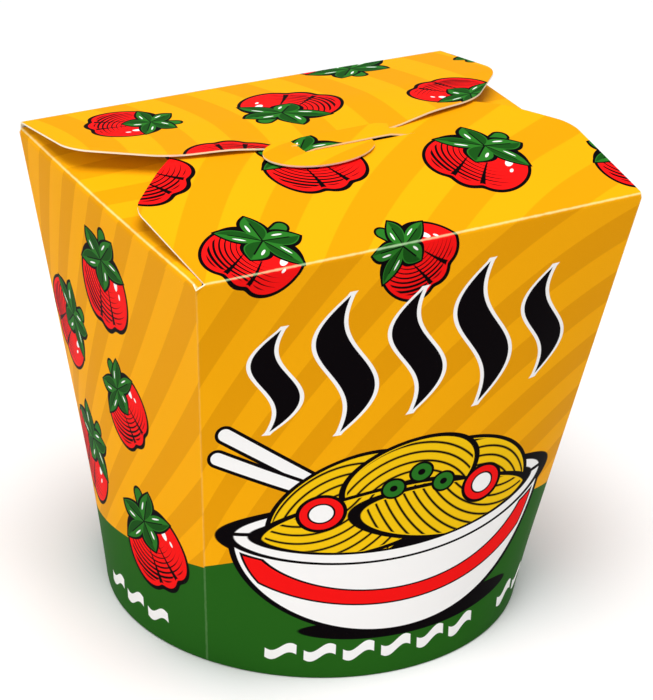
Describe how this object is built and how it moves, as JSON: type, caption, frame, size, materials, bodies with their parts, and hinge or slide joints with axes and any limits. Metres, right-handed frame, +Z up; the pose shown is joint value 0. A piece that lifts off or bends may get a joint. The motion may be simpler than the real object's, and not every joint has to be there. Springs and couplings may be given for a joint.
{
  "type": "noodle takeaway box",
  "caption": "Shut card noodle box with a round base, flared walls and an oblong top closed by folded flaps and a tongue.",
  "frame": {"origin": "centre of the round base, on the surface that the box stands on", "axes": "+Z up; the front wall, which the front flap folds back from, faces -Y; +X to the right of someone who faces that wall"},
  "size_m": [0.105, 0.0908, 0.1077],
  "materials": {
    "printed_card": "satin-coated printed card, golden yellow with a darker ray pattern and a green foot band"
  },
  "bodies": {
    "root": {"carton": "printed_card"}
  },
  "joints": []
}
